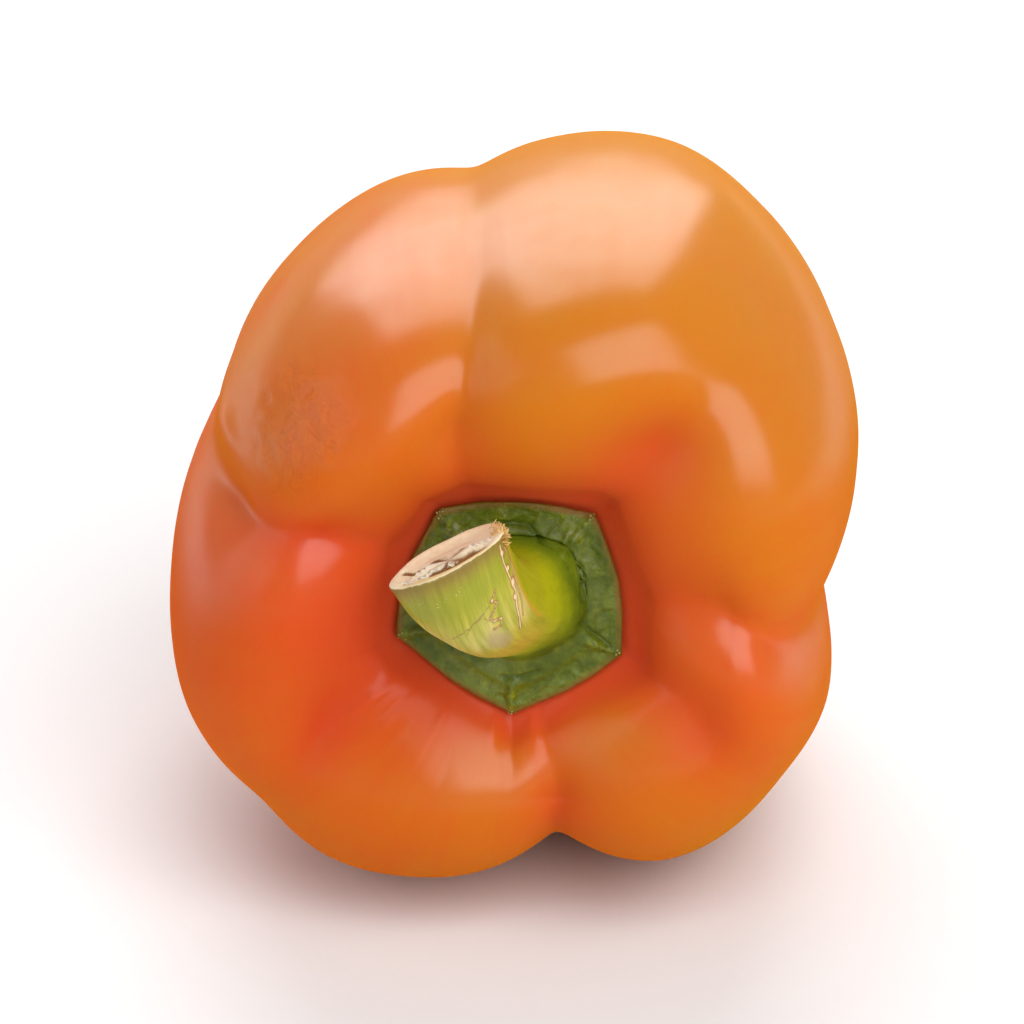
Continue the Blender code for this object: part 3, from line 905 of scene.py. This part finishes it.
calyx_height = on_top * (
    0.35 * ridge * ease(edge_share, 1.02, 0.9) - 0.40 * crease - 0.05 * foot_ring + 0.12 * lip
)
print("share of the calyx that is creased:", float((crease * on_top > 0.5).mean().round(4)))

# %% The stem: a corky line, healed scratches, a worn patch and a row of pores under the rim
# A place on the stem is its turn in degrees and its share of the way from the foot to the rim.
CORK_LINE = (
    (331, 0.96), (330, 0.86), (333, 0.76), (335, 0.70), (330, 0.66), (327, 0.60), (322, 0.54),
)
BLISTERS = (  # turn, share, and width in mm
    (331, 0.91, 0.42), (334, 0.82, 0.34), (335, 0.745, 0.50), (331, 0.69, 0.30),
)
SECOND_LINE = ((337, 0.93), (342, 0.82), (341, 0.72), (338, 0.64), (332, 0.58))
SCRATCHES = (
    ((253, 0.70), (262, 0.715), (276, 0.73), (291, 0.745), (301, 0.755)),
    ((270, 0.705), (280, 0.74), (291, 0.73), (296, 0.70)),
)
SQUIGGLES = (
    (
        (304, 0.765), (310, 0.745), (302, 0.72), (297, 0.71),
        (300, 0.685), (309, 0.675), (306, 0.645), (297, 0.655),
    ),
    ((312, 0.79), (307, 0.775), (303, 0.765)),
)
PORE_ROW = ((216, 0.905), (236, 0.885), (252, 0.872), (266, 0.875), (282, 0.862))
WORN_PATCH = ((294, 0.60), (300, 0.56))

cork = 0.75 * spot(stem_line_distance(CORK_LINE), 0.20)
cork = np.maximum(cork, 0.6 * spot(stem_line_distance(SECOND_LINE), 0.18))
for turn, share, width in BLISTERS:
    away = np.linalg.norm(stem_map - np.array(stem_point(turn, share)), axis=-1)
    cork = np.maximum(cork, spot(away, width))
for line in SQUIGGLES:
    cork = np.maximum(cork, 0.7 * spot(stem_line_distance(line), 0.13))
scratch = np.zeros(cork.shape)
for line in SCRATCHES:
    scratch = np.maximum(scratch, 0.8 * spot(stem_line_distance(line), 0.11))
patch = spot(stem_line_distance(WORN_PATCH), 1.5)
pore_row = spot(stem_line_distance(PORE_ROW), 0.4)
cork, scratch, patch, pore_row = (mark * on_stem for mark in (cork, scratch, patch, pore_row))
stem_height = 0.16 * cork + 0.07 * scratch + 0.06 * patch
print("length of the stem's skin in mm:", round(stem_length / MM, 1))

# %% The cut: a woody rim, a cracked trough and torn pith
# A streak across the cut is its height on it, its half width, and where it starts and ends, in mm.
CRACKS = ((1.6, 0.6, (-6.0, 2.0)), (-3.0, 1.3, (-5.4, 4.8)), (0.6, 0.4, (-1.0, 5.4)))
FIBRES = ((-0.4, 0.9, (-4.4, 5.6)), (-2.2, 0.5, (-6.0, 1.0)))
STEM_REACH = 7.4  # mm, the stem's radius at the cut

cut_up = (cut_share[:, None] * np.sin(np.radians(stem_angle))[None, :]) * STEM_REACH
cut_right = (cut_share[:, None] * np.cos(np.radians(stem_angle))[None, :]) * STEM_REACH
wavy_up = cut_up + 0.40 * np.sin(cut_right * 1.3 + 0.6) + 0.22 * np.sin(cut_right * 3.7)


def streaks_across(rows):
    """1 along the streaks that run across the cut, and 0 elsewhere."""
    shade = np.zeros(cut_up.shape)
    for height, width, (start, end) in rows:
        inside = ease(cut_right, start - 1.0, start + 1.0) * ease(cut_right, end + 1.0, end - 1.0)
        shade = np.maximum(shade, spot(wavy_up - height, width) * inside)
    return shade * ease(cut_share, 0.97, 0.82)[:, None]


crack = streaks_across(CRACKS) * on_cut
fibre = streaks_across(FIBRES) * on_cut
cut_height = 0.30 * fibre * (1 + 0.5 * np.sin(cut_right * 9 + 2 * cut_up)) - 0.40 * crack
cut_height = cut_height - 0.10 * ease(cut_share, 0.95, 0.75)[:, None] * on_cut
cut_points = (on_cut + 0 * crack).sum()
print("share of the cut that is cracked:", float(((crack > 0.5).sum() / cut_points).round(3)))

# %% Push the marks out of the surface, and make the mesh
def outward(surface):
    """Unit normals of a surface of rings, pointing away from its inside."""
    around = np.roll(surface, -1, axis=1) - np.roll(surface, 1, axis=1)
    onward = np.gradient(surface, axis=0)
    normal = np.cross(onward, around)
    normal /= np.maximum(np.linalg.norm(normal, axis=-1, keepdims=True), 1e-12)
    away = surface - surface.mean(axis=(0, 1))
    return normal * np.sign((normal * away).sum())


height = (calyx_height + stem_height + cut_height) * MM
stem_surface = stem_surface + outward(stem_surface) * height[..., None]
stem_poles = [
    np.array([0, PROFILE[0, 1] - CALYX_GAP, 0]),
    stem_line(1.0)[0] - stem_line(1.0)[1] * (PITH_DEPTH + 0.35 * MM),
]
stem = closed_mesh(
    "pepper_stem", lay_down(stem_surface) - ORIGIN, lay_down(np.array(stem_poles)) - ORIGIN
)
print("triangles in the stem:", 2 * STEM_SIDES * STEM_LOOPS)

# %% Numbers kept with the points of the calyx and the stem
# `zone` is the ring's number. `under` is the side of the stem that faces down, which the finish
# paints orange near the foot as painted light bounced from the fruit, and `beyond` the side past the
# corner at the right, which is yellower, with a thin line of the same painted orange light at the
# corner.
UNDER_TURN = 255
CORNER_TURN = 343
FAINTEST_PORE = 0.3
ZONES_OF_POLES = (0, PITH_RING)

zone = np.broadcast_to(ring_number[:, None], from_axis.shape)
keep_with_points(stem, "zone", zone, ZONES_OF_POLES)
# the creases and the ring round the foot, which the finish paints darker as painted shade
keep_with_points(stem, "crease", np.clip(crease * on_top + 0.12 * foot_ring * on_top, 0, 1), (0, 0))
keep_with_points(stem, "ridge", ridge * on_top, (0, 0))
keep_with_points(stem, "lip", ease(edge_share, 0.90, 0.985) * on_top, (0, 0))
keep_with_points(stem, "creased", leaf, (0, 0))
keep_with_points(stem, "cork", cork, (0, 0))
keep_with_points(stem, "worn", patch, (0, 0))
under = ease(np.abs(turn_between(stem_angle, UNDER_TURN)), 95, 55)[None, :] * on_stem
keep_with_points(stem, "under", under, (0, 0))
past_corner = turn_between(stem_angle, CORNER_TURN)
beyond = (ease(past_corner, 0, 9) * ease(past_corner, 130, 100))[None, :] * on_stem
keep_with_points(stem, "beyond", beyond, (0, 0))
keep_with_points(stem, "pore_row", pore_row * (pore_row > FAINTEST_PORE), (0, 0))
keep_with_points(stem, "scratch", scratch, (0, 0))
print("share of the stem's skin that is corky:", float((cork > 0.5).mean().round(4)))

# %% Numbers kept with the points of the cut, and with the calyx's five tips
# `cut_front` is the low side of the cut, and `fuzzy` the place at its right where fibres stand up.
FAINTEST_FUZZ = 0.25
TIP_RINGS = 8  # on the calyx's top, the rings before this one lie near its edge

keep_with_points(stem, "crack", crack, (0, crack[-1].mean()))
keep_with_points(stem, "fibre", fibre, (0, fibre[-1].mean()))
front = ease(cut_up, -2.5, -6.0) * on_cut
keep_with_points(stem, "cut_front", front, (0, 0))
fuzzy = spot(cut_right - STEM_REACH, 1.6) * spot(cut_up - 1.5, 4.0)
near_rim = (ring_number > RIM_RING - 1.2)[:, None]
fuzzy = fuzzy * (on_cut | near_rim) * ease(cut_share, 0.5, 0.9)[:, None]
keep_with_points(stem, "fuzzy", fuzzy * (fuzzy > FAINTEST_FUZZ), (0, 0))
points_of_calyx = np.zeros(from_axis.shape)
for tip, distance, _ in CALYX_TIPS:
    away = np.linalg.norm(calyx_map - np.array(calyx_point(tip, distance - 0.5)), axis=-1)
    points_of_calyx = np.maximum(points_of_calyx, spot(away, 0.45) * (ring_number < TIP_RINGS)[:, None])
keep_with_points(stem, "tips", points_of_calyx * (ring_number > EDGE_RING)[:, None], (0, 0))

# %% A map in which the way along the stem is squeezed short, for its fibres
FIBRE_SQUEEZE = 0.12

level = np.zeros(from_axis.shape)
up_stem = (at[:, None] - knots[FOOT_RING]) * FIBRE_SQUEEZE + level
fibre_map = around_axis(STEM_ROUND * MM + level, up_stem, stem_angle)
poles = [fibre_map[k].mean(axis=0) for k in (0, -1)]
keep_with_points(stem, "lengthwise", fibre_map, poles)
print("numbers kept with the points of the stem:", len(stem.data.attributes))

# %% [markdown]
# ## The finish of the calyx, the stem and the cut
#
# The three parts of this piece meet without an edge, so one material holds all three finishes and
# blends them by `zone`, which counts the rings: up to 5 is the underside, then the top of the
# calyx, from 10 the stem, from 26 the cut. The calyx is dark, leathery green with a brown edge.
# The calyx's creases are painted darker, as painted shade. The stem is pale green with fine streaks,
# yellower at its foot. Its underside near the foot, and a thin line at its right corner, are painted
# orange as painted light bounced from the fruit, and a band just under the rim is painted brown as
# painted shade. The cut is dry cream wood.

# %% The green parts and the cut
LEAF_GREEN = tint(106, 118, 12)
LEAF_DARK = tint(66, 82, 8)
LEAF_BRIGHT = tint(160, 172, 20)
LEAF_EDGE = tint(122, 88, 28)
STEM_PALE = tint(214, 198, 124)
STEM_GREEN = tint(192, 180, 62)
STEM_DARK = tint(134, 140, 30)
# painted shade: brown just under the flaring rim of the cut
UNDER_RIM_SHADE = tint(126, 98, 44)
FOOT_YELLOW = tint(160, 166, 10)
FOOT_GREEN = tint(100, 120, 14)
# painted light: orange bounced from the fruit onto the stem's underside and its right corner
BOUNCED_ORANGE = tint(196, 150, 50)
CORK_PALE = tint(228, 196, 158)
CORK_BROWN = tint(150, 102, 52)
WORN_GREY = tint(168, 148, 104)
SCRATCH_BROWN = tint(128, 88, 62)
CUT_CREAM = tint(250, 236, 202)
CUT_TAN = tint(214, 180, 122)
CUT_BROWN = tint(142, 98, 56)
PITH_PALE = tint(248, 238, 214)


def stem_finish():
    material, nodes, shader = new_finish(
        "stem_and_calyx", Subsurface_Weight=0.2, Subsurface_Scale=0.0012, Specular_IOR_Level=0.25,
        Coat_Roughness=0.2,
    )
    shader.inputs["Subsurface Radius"].default_value = (0.7, 1.0, 0.25)
    place = nodes.add("ShaderNodeTexCoord", output="Object")
    lengthwise = surface_number(nodes, "lengthwise", "Vector")
    zone, crease, ridge, lip, cork, worn, scratch, crack, fibre, cut_front, under, beyond = (
        surface_number(nodes, name) for name in (
            "zone", "crease", "ridge", "lip", "cork", "worn", "scratch", "crack", "fibre",
            "cut_front", "under", "beyond",
        )
    )
    patches = nodes.noise(place, 0.0048, 4, 0.6)
    grain = nodes.noise(place, 0.0009, 3, 0.6)
    streaks = nodes.noise(lengthwise, 0.0007, 4, 0.65)
    broad = nodes.noise(lengthwise, 0.0026, 2)
    ragged = nodes.noise(place, 0.0010, 4, 0.7)

    leaf_tone = (patches * 1.5 - 0.25 + (grain - 0.5) * 0.7).ramp(0.1, 0.9)
    leaf = nodes.blend(leaf_tone, LEAF_DARK, LEAF_GREEN)
    bright = ridge * 0.3 + (grain - 0.58) * 2.2 + (patches - 0.55)
    leaf = nodes.blend(bright.ramp(0.1, 1.0), leaf, LEAF_BRIGHT)
    leaf = nodes.blend((lip * (patches + 0.25)).ramp(0.15, 1.0), leaf, LEAF_EDGE)
    # painted shade: the creases are painted dark green
    leaf = nodes.blend(crease * 0.7, leaf, LEAF_DARK)

    stalk = nodes.blend((streaks * 1.6 - 0.3).ramp(0, 1), STEM_DARK, STEM_GREEN)
    pale = zone.ramp(24.6, 19.0) * zone.ramp(17.0, 20.0) * (1 - beyond)
    pale = pale * (broad * 1.5 + streaks * 0.6 - 0.55)
    stalk = nodes.blend(pale.ramp(0.1, 0.9), stalk, STEM_PALE)
    band = zone.ramp(21.8, 23.4) * zone.ramp(25.4, 24.0)
    stalk = nodes.blend(band * (0.35 + broad * 0.5), stalk, STEM_DARK)
    # painted shade: a brown band just under the rim
    stalk = nodes.blend(zone.ramp(23.8, 25.6) * (0.45 + broad * 0.7), stalk, UNDER_RIM_SHADE)
    foot = zone.ramp(18.0, 13.0) * (0.6 + (patches - 0.5) * 0.9 + (grain - 0.5) * 0.5)
    stalk = nodes.blend(foot.ramp(0, 0.85), stalk, FOOT_YELLOW)
    stalk = nodes.blend(beyond * (0.75 + (ragged - 0.5) * 0.8), stalk, FOOT_YELLOW)
    # painted light: a thin orange line at the right corner, as bounced from the fruit
    stalk = nodes.blend(beyond * (1 - beyond) * zone.ramp(15.0, 18.0) * 3, stalk, BOUNCED_ORANGE)
    green_foot = zone + (patches - 0.5) * 3.0 + (ragged - 0.5) * 2.0
    stalk = nodes.blend(green_foot.ramp(15.5, 11.0), stalk, FOOT_GREEN)
    # painted light: the underside near the foot is tinted orange, as bounced from the fruit
    stalk = nodes.blend(under * zone.ramp(20.0, 15.0) * zone.ramp(14.0, 17.0) * 0.6, stalk, BOUNCED_ORANGE)
    stalk = nodes.blend((worn * (0.5 + ragged)).ramp(0.15, 0.9) * 0.75, stalk, WORN_GREY)
    corky = cork * (0.45 + ragged * 1.1)
    stalk = nodes.blend(corky.ramp(0.12, 0.35) * 0.75, stalk, CORK_BROWN)
    stalk = nodes.blend(corky.ramp(0.42, 0.75), stalk, CORK_PALE)
    stalk = nodes.blend((scratch * (0.5 + ragged)).ramp(0.2, 0.8) * 0.6, stalk, SCRATCH_BROWN)

    wood = nodes.blend((ragged * 1.2 - 0.25).ramp(0.1, 0.9) * 0.5, CUT_CREAM, CUT_TAN)
    wood = nodes.blend((cut_front * (0.5 + ragged)).ramp(0.1, 0.9) * 0.8, wood, CUT_TAN)
    wood = nodes.blend((crack * (0.35 + ragged * 1.3)).ramp(0.15, 0.6), wood, CUT_BROWN)
    wood = nodes.blend((fibre * (ragged * 2.2 - 0.45)).ramp(0.15, 0.55), wood, PITH_PALE)

    onto_leaf = (zone + (patches - 0.5) * 2.6 + (grain - 0.5)).ramp(9.4, 12.8)
    colour = nodes.blend(onto_leaf, leaf, stalk)
    colour = nodes.blend((zone + (ragged - 0.5) * 0.5).ramp(25.8, 26.1), colour, wood)
    nodes.feed(shader.inputs["Base Color"], colour)

    on_cut = zone.ramp(25.9, 26.2)
    on_leaf = zone.ramp(11.5, 9.5)
    rough = 0.46 + (grain - 0.5) * 0.3 + on_cut * 0.4 + cork * 0.15 + worn * 0.2
    nodes.feed(shader.inputs["Roughness"], rough)
    glints = patches.ramp(0.40, 0.62)
    gloss = on_leaf * (1 - lip) * (0.04 + glints * 0.40) + 0.05 * (1 - on_cut)
    nodes.feed(shader.inputs["Coat Weight"], gloss)

    leather = 1 - abs(nodes.noise(place, 0.0018, 4, 0.6, 0.9) * 2 - 1)
    height = on_leaf * (leather * (0.00010 + glints * 0.00016) + grain * 0.00006)
    bark = streaks * 0.00005 + (corky + worn * 0.4) * ragged * 0.00018
    height = height + (1 - on_leaf) * (1 - on_cut) * bark
    height = height + on_cut * ragged * (0.00012 + crack * 0.00025 + fibre * 0.00040)
    bump = nodes.add("ShaderNodeBump", None, {"Strength": 1.0, "Distance": 1.0, "Height": height})
    nodes.feed(shader.inputs["Normal"], bump)
    return material


green = stem_finish()
run_tree(
    stem, relief, swell_height=0.45 * MM, swell_size=6 * MM, wrinkle_height=0.42 * MM,
    wrinkle_size=3.4 * MM, Material=green,
)

# %% [markdown]
# ## Grains and fibres by Geometry Nodes
#
# Some marks are too small and too many to place by hand: torn fibres at one end of the cut, a row
# of pale pores under the rim, a pale dot on each point of the calyx. One tree scatters a small
# grain over a piece wherever an attribute says so, never closer than a spacing. Long grains that
# lean at random are fibres, and flat ones are pores. The seed is fixed, so each run is the same.

# %% The scatter tree
def scatter_tree():
    """Grains on a piece's surface, where the attribute whose name is given is above 0."""
    nodes, given = geometry_tree(
        "scatter", mask="tips", spacing=0.0005, width=0.0001, length=0.0001, lean=0.2, seed=1,
    )
    mask = nodes.add("GeometryNodeInputNamedAttribute", {"data_type": "FLOAT"}, {"Name": given["mask"]})
    spots = nodes.add("GeometryNodeDistributePointsOnFaces", {"distribute_method": "POISSON"}, {
        "Mesh": given["Geometry"], "Distance Min": given["spacing"],
        "Density Max": 3 / (given["spacing"] * given["spacing"]), "Density Factor": mask,
        "Seed": given["seed"],
    })
    grain = nodes.add("GeometryNodeMeshUVSphere", None, {"Segments": 7, "Rings": 5, "Radius": 1.0})
    smooth = nodes.add("GeometryNodeSetShadeSmooth", None, {"Geometry": grain})
    lean = given["lean"]
    turned = nodes.add("FunctionNodeRandomValue", {"data_type": "FLOAT_VECTOR"}, {
        "Min": nodes.add("ShaderNodeCombineXYZ", None, {0: lean * -1, 1: lean * -1, 2: -3.1}),
        "Max": nodes.add("ShaderNodeCombineXYZ", None, {0: lean, 1: lean, 2: 3.1}),
        "Seed": given["seed"],
    })
    rotation = nodes.add("FunctionNodeRotateRotation", {"rotation_space": "LOCAL"}, {
        "Rotation": spots.also("Rotation"),
        "Rotate By": nodes.add("FunctionNodeEulerToRotation", None, {0: turned}),
    })
    sizes = {2: 0.55, 3: 1.35, "Seed": given["seed"]}
    grow = nodes.add("FunctionNodeRandomValue", {"data_type": "FLOAT"}, sizes, 1)
    size = nodes.add("ShaderNodeCombineXYZ", None, {
        0: given["width"] * grow, 1: given["width"] * grow * 0.8, 2: given["length"] * grow,
    })
    placed = nodes.add("GeometryNodeInstanceOnPoints", None, {
        "Points": spots, "Instance": smooth, "Rotation": rotation, "Scale": size,
    })
    return end_tree(nodes, placed, given["Material"])


scatter = scatter_tree()


def scatter_on(piece, name, **sizes):
    """A new piece: grains on the surface of another."""
    made = bpy.data.objects.new(name, piece.data.copy())
    bpy.context.scene.collection.objects.link(made)
    run_tree(made, scatter, **sizes)
    return made


# %% The finish of the grains: dry, pale, a little browner here and there
GRAIN_TAN = tint(206, 160, 92)


def grain_finish(name, pale, dark):
    material, nodes, shader = new_finish(name, Subsurface_Weight=0.1, Subsurface_Scale=0.0004)
    place = nodes.add("ShaderNodeTexCoord", output="Object")
    speckle = nodes.noise(place, 0.0006, 2)
    nodes.feed(shader.inputs["Base Color"], nodes.blend(speckle.ramp(0.35, 0.7), pale, dark))
    nodes.feed(shader.inputs["Roughness"], 0.55 + speckle * 0.3)
    return material


fibres = scatter_on(
    stem, "cut_fibres", mask="fuzzy", spacing=0.26 * MM, width=0.075 * MM, length=0.55 * MM,
    lean=0.75, seed=4, Material=grain_finish("dry_fibre", GRAIN_TAN, tint(228, 190, 120)),
)
pores = scatter_on(
    stem, "rim_pores", mask="pore_row", spacing=0.46 * MM, width=0.11 * MM, length=0.05 * MM,
    lean=0.05, seed=7, Material=grain_finish("pale_cork", tint(176, 178, 104), tint(142, 148, 70)),
)
calyx_points = scatter_on(
    stem, "calyx_points", mask="tips", spacing=0.34 * MM, width=0.12 * MM, length=0.10 * MM,
    lean=0.3, seed=2, Material=bpy.data.materials["pale_cork"],
)

# %% [markdown]
# ## The studio
#
# The pepper lies on a plain white floor under three soft boxes. A large one above and behind draws
# the broad highlights on the upper lobes. One in front, high on the right, draws a patch on every
# lobe that faces it. A weak one low on the left lifts the shadow there. A white world fills the
# rest. Area lights were chosen over point lights because a highlight is a picture of its light, and
# the ones on this skin are broad.

# %% Floor
FLOOR_HALF = 3.0
FLOOR_WHITE = 0.84
floor_mesh = bpy.data.meshes.new("floor")
corners = [(x * FLOOR_HALF, y * FLOOR_HALF, 0) for x, y in ((-1, -1), (1, -1), (1, 1), (-1, 1))]
floor_mesh.from_pydata(corners, [], [(0, 1, 2, 3)])
floor = bpy.data.objects.new("floor", floor_mesh)
bpy.context.scene.collection.objects.link(floor)
floor_material, _, floor_shader = new_finish("floor_white", Roughness=0.9)
floor_shader.inputs["Base Color"].default_value = (FLOOR_WHITE, FLOOR_WHITE, FLOOR_WHITE, 1)
floor_mesh.materials.append(floor_material)
floor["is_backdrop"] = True

# %% Lights
# Name, azimuth and elevation in degrees, distance and size in metres, and radiance.
LIGHTS = (
    ("behind", 184, 36, 1.2, (1.05, 1.4), 3.4),
    ("front_right", 30, 40, 0.95, (0.92, 1.1), 3.2),
    ("left", -80, 22, 1.2, (1.6, 1.0), 0.7),
)
AIM = Vector((-ORIGIN).tolist())  # the middle of the fruit
for name, azimuth, elevation, distance, size, radiance in LIGHTS:
    light = bpy.data.lights.new(name, "AREA")
    light.shape = "RECTANGLE"
    light.size, light.size_y = size
    light.energy = radiance * math.pi * light.size * light.size_y
    lamp = bpy.data.objects.new(name, light)
    azimuth, elevation = math.radians(azimuth), math.radians(elevation)
    level = math.cos(elevation)
    away = Vector((math.sin(azimuth) * level, -math.cos(azimuth) * level, math.sin(elevation)))
    lamp.location = AIM + away * distance
    lamp.rotation_euler = (-away).to_track_quat("-Z", "Y").to_euler()
    bpy.context.scene.collection.objects.link(lamp)
    print(f"light {name}: {light.energy:.1f} W")

# %% The white room
WORLD_STRENGTH = 0.30
world = bpy.data.worlds.new("white_room")
world.use_nodes = True
world.node_tree.nodes["Background"].inputs["Color"].default_value = (1, 1, 1, 1)
world.node_tree.nodes["Background"].inputs["Strength"].default_value = WORLD_STRENGTH
bpy.context.scene.world = world
bpy.context.scene.view_settings.view_transform = "Standard"

# %% Camera: 25 degrees above the surface, as the photograph looks at it
CAMERA_ELEVATION = math.radians(25)
CAMERA_DISTANCE = 0.80
CAMERA_LENS = 226.0
SENSOR_WIDTH = 36
NEAREST = 0.01
camera = bpy.data.objects.new("camera", bpy.data.cameras.new("camera"))
back = Vector((0, -math.cos(CAMERA_ELEVATION), math.sin(CAMERA_ELEVATION)))
camera.location = AIM + back * CAMERA_DISTANCE
camera.rotation_euler = (math.pi / 2 - CAMERA_ELEVATION, 0, 0)
camera.data.sensor_width = SENSOR_WIDTH
camera.data.lens = CAMERA_LENS
camera.data.clip_start = NEAREST
bpy.context.scene.collection.objects.link(camera)
bpy.context.scene.camera = camera
print("camera at:", [round(c, 3) for c in camera.location])

# %% [markdown]
# ## The pieces and their body
#
# Each piece rides on the one body of this object and stands for its solid, which is hidden.

# %% Pieces and the body they ride on
PIECES = (
    (fruit, "fruit"), (stem, "stem"), (fibres, "stem"), (pores, "stem"), (calyx_points, "stem"),
)
for piece, node in PIECES:
    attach(piece, "root")
    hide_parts(node)

# %% The two boxes
visual_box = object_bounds()
for k, axis in enumerate("xyz"):
    below = round((cad_box[0][k] - visual_box[0][k]) / MM, 2)
    above = round((visual_box[1][k] - cad_box[1][k]) / MM, 2)
    print(axis, "reaches beyond the frame by mm:", [below, above])
